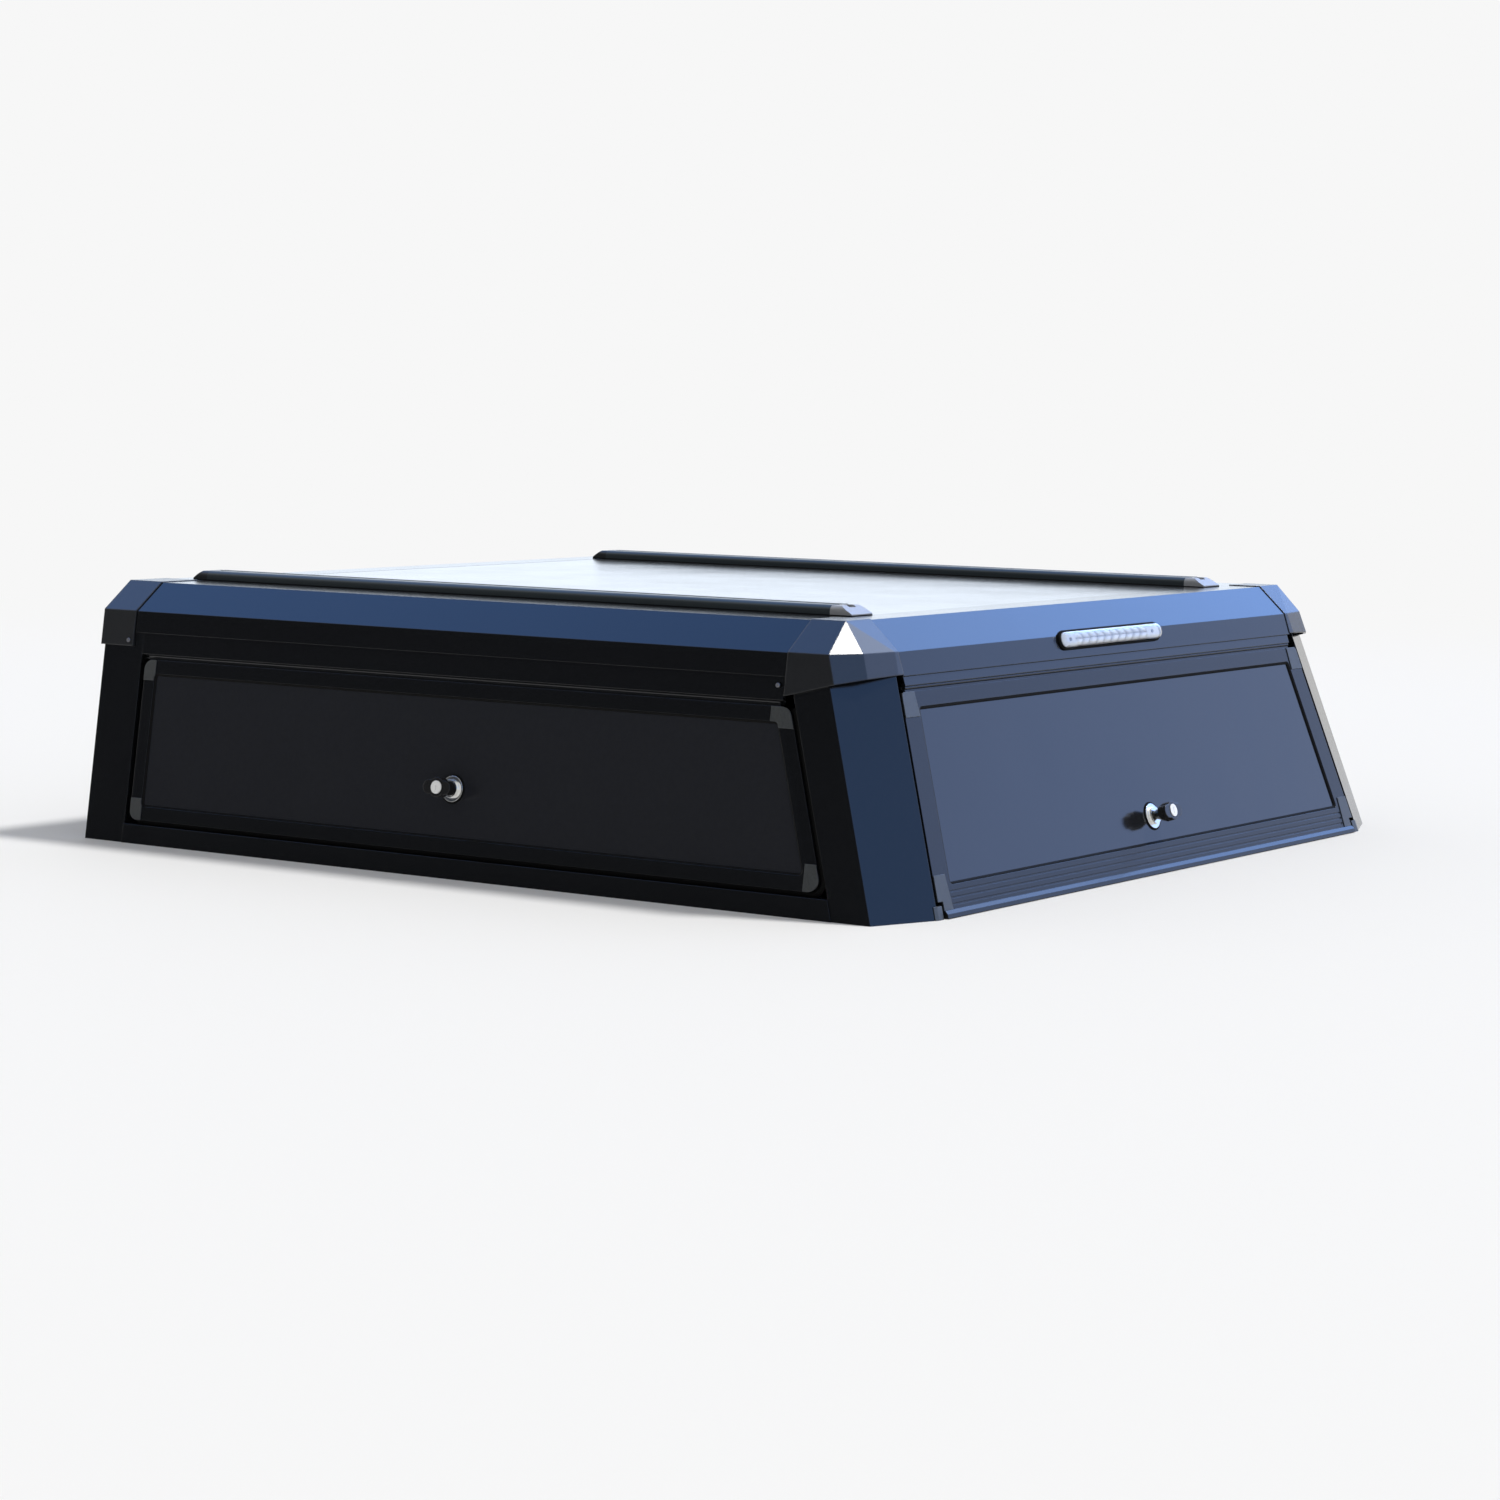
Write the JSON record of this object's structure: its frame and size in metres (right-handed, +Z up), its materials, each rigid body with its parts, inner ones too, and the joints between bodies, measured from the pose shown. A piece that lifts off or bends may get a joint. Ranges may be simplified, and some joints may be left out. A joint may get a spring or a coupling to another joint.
{
  "type": "pickup truck canopy",
  "caption": "Low aluminium canopy for a short pickup bed, with lift-up side doors, a raked rear hatch, chamfered roof edges, faceted corner caps and two slotted cargo rails.",
  "frame": {"origin": "middle of the overall box, at the underside of the base rails where they sit on the bed rails", "axes": "+X to the vehicle right side, +Y forward to the cab, +Z up; the hatch faces -Y"},
  "size_m": [1.4686, 1.4318, 0.39],
  "materials": {
    "black_coat": "satin black powder coat on aluminium",
    "bracket_plastic": "dark grey textured corner bracket",
    "cap_coat": "satin black coat, slightly greyer",
    "end_grey": "light grey moulded plastic",
    "frame_coat": "satin black coat on the hatch extrusions",
    "hatch_coat": "semi-gloss black coat on the hatch sheet",
    "key_metal": "satin key face",
    "lens_clear": "clear ribbed lens over reflectors",
    "lock_black": "black moulded handle",
    "lock_metal": "plated key cylinder",
    "panel_coat": "smooth semi-gloss black coat on sheet",
    "rail_coat": "satin dark slate coat on extrusion",
    "roof_coat": "semi-gloss black coat on the roof sheet",
    "rubber_black": "matt black gasket"
  },
  "bodies": {
    "frame": {"base_rail_front": "black_coat", "base_rail_left": "black_coat", "base_rail_right": "black_coat", "brake_light_housing": "rubber_black", "brake_light_lens": "lens_clear", "cargo_rail_ends": "end_grey", "cargo_rail_left": "rail_coat", "cargo_rail_right": "rail_coat", "front_panel": "black_coat", "front_post_left": "black_coat", "front_post_right": "black_coat", "hinge_rail_left": "black_coat", "hinge_rail_rear": "black_coat", "hinge_rail_right": "black_coat", "rear_foot_left": "bracket_plastic", "rear_foot_right": "bracket_plastic", "rear_post_left": "black_coat", "rear_post_right": "black_coat", "roof_cap_front_left": "cap_coat", "roof_cap_front_right": "cap_coat", "roof_cap_rear_left": "cap_coat", "roof_cap_rear_right": "cap_coat", "roof_panel": "roof_coat", "roof_rail_front": "black_coat", "roof_rail_left": "black_coat", "roof_rail_rear": "black_coat", "roof_rail_right": "black_coat"},
    "left_door": {"door_corners_left": "bracket_plastic", "door_frame_left": "black_coat", "door_lock_plate_left": "lock_metal", "door_panel_left": "panel_coat"},
    "right_door": {"door_corners_right": "bracket_plastic", "door_frame_right": "black_coat", "door_lock_plate_right": "lock_metal", "door_panel_right": "panel_coat"},
    "left_handle": {"door_handle_left": "lock_black", "door_key_cylinder_left": "key_metal"},
    "right_handle": {"door_handle_right": "lock_black", "door_key_cylinder_right": "key_metal"},
    "rear_hatch": {"hatch_corners": "bracket_plastic", "hatch_frame": "frame_coat", "hatch_lock_plate": "lock_metal", "hatch_panel": "hatch_coat"},
    "hatch_handle": {"hatch_handle": "lock_black", "hatch_key_cylinder": "key_metal"}
  },
  "joints": [
    {"name": "left_door_hinge", "type": "hinge", "parent": "frame", "child": "left_door", "pos_m": [-0.67174, 0, 0.27193], "axis": [0, 1, 0], "range_deg": [0, 90]},
    {"name": "right_door_hinge", "type": "hinge", "parent": "frame", "child": "right_door", "pos_m": [0.67174, 0, 0.27193], "axis": [0, -1, 0], "range_deg": [0, 90]},
    {"name": "rear_hatch_hinge", "type": "hinge", "parent": "frame", "child": "rear_hatch", "pos_m": [0, -0.60649, 0.28896], "axis": [-1, 0, 0], "range_deg": [0, 85]},
    {"name": "left_handle_turn", "type": "hinge", "parent": "left_door", "child": "left_handle", "pos_m": [-0.69933, 0.03118, 0.122], "axis": [-0.9885, 0, 0.1512], "range_deg": [0, 90]},
    {"name": "right_handle_turn", "type": "hinge", "parent": "right_door", "child": "right_handle", "pos_m": [0.69933, 0.03118, 0.122], "axis": [0.9885, 0, 0.1512], "range_deg": [-90, 0]},
    {"name": "hatch_handle_turn", "type": "hinge", "parent": "rear_hatch", "child": "hatch_handle", "pos_m": [0, -0.68032, 0.078], "axis": [0, -0.9505, 0.3108], "range_deg": [0, 90]}
  ]
}
